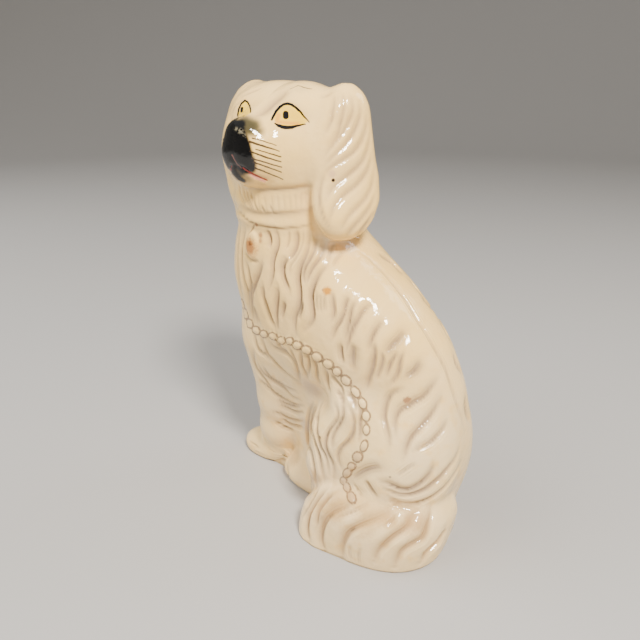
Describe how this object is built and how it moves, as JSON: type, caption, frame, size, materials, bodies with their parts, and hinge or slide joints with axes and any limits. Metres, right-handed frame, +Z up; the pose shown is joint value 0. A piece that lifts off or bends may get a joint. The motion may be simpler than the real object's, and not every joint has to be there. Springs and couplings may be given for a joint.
{
  "type": "staffordshire spaniel figurine",
  "caption": "Seated mantelpiece spaniel in white glazed earthenware, body in profile with head turned to the front, long ears, moulded fur, neck chain and a thick tail round its side.",
  "frame": {"origin": "on the flat underside, near its middle, between the front and hind paws", "axes": "+Z up through the crown; -Y is the side put on show, which the face looks towards; -X is the breast and front paws, +X the back and rump"},
  "size_m": [0.2273, 0.1228, 0.3311],
  "materials": {
    "cream_glaze": "cream white earthenware under a clear high-gloss glaze, with painted eyes and nose"
  },
  "bodies": {
    "root": {"spaniel": "cream_glaze"}
  },
  "joints": []
}
